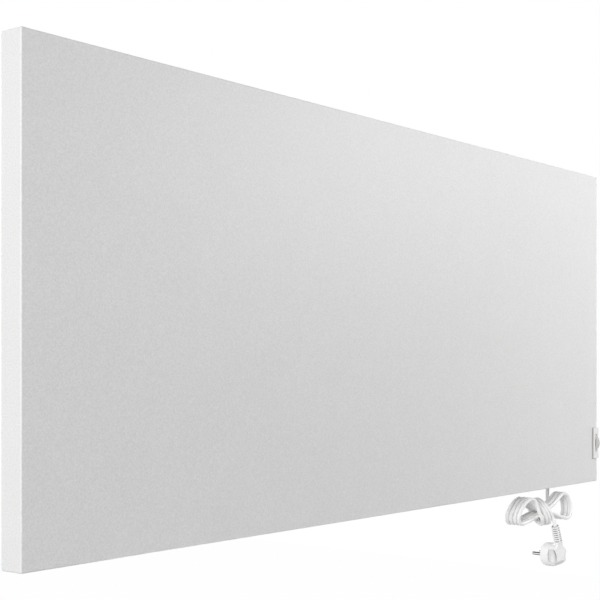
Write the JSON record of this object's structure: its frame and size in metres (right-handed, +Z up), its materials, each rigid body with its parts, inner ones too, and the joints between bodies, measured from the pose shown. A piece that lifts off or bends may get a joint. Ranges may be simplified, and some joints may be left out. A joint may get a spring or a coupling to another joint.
{
  "type": "infrared panel heater",
  "caption": "Thin flat wall-hung infrared heating panel with a thumbwheel thermostat at its right edge and a mains lead tied in a hank with an angled plug.",
  "frame": {"origin": "middle of the wall rail's flat back face, which lies on the wall", "axes": "+X along the panel to the right as seen from the room, +Y into the wall, +Z up; the heating face looks along -Y"},
  "size_m": [1.2, 0.0632, 0.627],
  "materials": {
    "enamel": "fine-textured white powder coat",
    "zinc": "galvanised sheet, dull spangle",
    "steel": "plain bright steel",
    "white_plastic": "moulded white plastic, fine matt",
    "grey_plastic": "moulded grey plastic, fine matt",
    "brass": "plain rolled brass",
    "nickel": "nickel-plated brass, smooth",
    "pvc": "white soft PVC sheath",
    "rubber": "black moulded rubber",
    "wool": "pressed glass wool board",
    "foil": "bright rolled foil",
    "mica": "pressed mica sheet",
    "silicone": "red silicone mat with sealed wires",
    "ceramic": "unglazed steatite",
    "wire_brown": "core insulation",
    "wire_blue": "core insulation",
    "wire_green": "core insulation with a stripe",
    "wire_grey": "heat-proof core insulation"
  },
  "bodies": {
    "rail": {"wall_rail": "zinc"},
    "panel": {"arm_pivot_pin": "steel", "arm_terminal": "brass", "back_plate": "zinc", "back_screw_1": "zinc", "back_screw_2": "zinc", "back_screw_3": "zinc", "back_screw_4": "zinc", "back_screw_5": "zinc", "back_screw_6": "zinc", "back_screw_7": "zinc", "back_screw_8": "zinc", "bumper_left": "rubber", "bumper_right": "rubber", "connection_box": "white_plastic", "connection_box_lid": "white_plastic", "cord_clamp": "white_plastic", "cord_drop": "pvc", "cord_gland": "white_plastic", "cord_hank": "pvc", "cord_tail": "pvc", "core_earth": "wire_green", "core_live": "wire_brown", "core_neutral": "wire_blue", "earth_clip_bottom": "nickel", "earth_clip_top": "nickel", "earth_nut": "brass", "earth_stud": "steel", "fixed_contact": "brass", "front_shell": "enamel", "hanger_left": "zinc", "hanger_right": "zinc", "heating_mat": "silicone", "inner_sheath": "pvc", "insulation_board": "wool", "lead_earth": "wire_green", "lead_grommet": "rubber", "lead_live": "wire_brown", "lead_mat": "wire_grey", "lead_neutral": "wire_blue", "lead_switched": "wire_grey", "lid_screw_1": "zinc", "lid_screw_2": "zinc", "mica_sheet": "mica", "overheat_cutout": "steel", "plug_face": "white_plastic", "plug_grip": "white_plastic", "plug_pin_left": "nickel", "plug_pin_right": "nickel", "plug_strain_relief": "pvc", "reflector_foil": "foil", "stiffener_bottom": "zinc", "stiffener_top": "zinc", "terminal_block": "ceramic", "thermostat_cover": "white_plastic", "thermostat_housing": "white_plastic", "wheel_spindle": "steel"},
    "wheel": {"thumbwheel": "grey_plastic", "dial_cam": "grey_plastic"},
    "arm": {"contact_arm": "brass"}
  },
  "joints": [
    {"name": "panel_lift", "type": "slide", "parent": "rail", "child": "panel", "axis": [0, 0, 1], "range_m": [0, 0.014]},
    {"name": "wheel_turn", "type": "hinge", "parent": "panel", "child": "wheel", "pos_m": [0.59135, -0.0462, -0.314], "axis": [1, 0, 0], "range_deg": [0, 270]},
    {"name": "arm_swing", "type": "hinge", "parent": "panel", "child": "arm", "pos_m": [0.59135, -0.0399, -0.332], "axis": [1, 0, 0], "range_deg": [-10, 0]}
  ],
  "couplings": [
    {"joint": "arm_swing", "follows": "wheel_turn", "ratio": -0.037037}
  ]
}
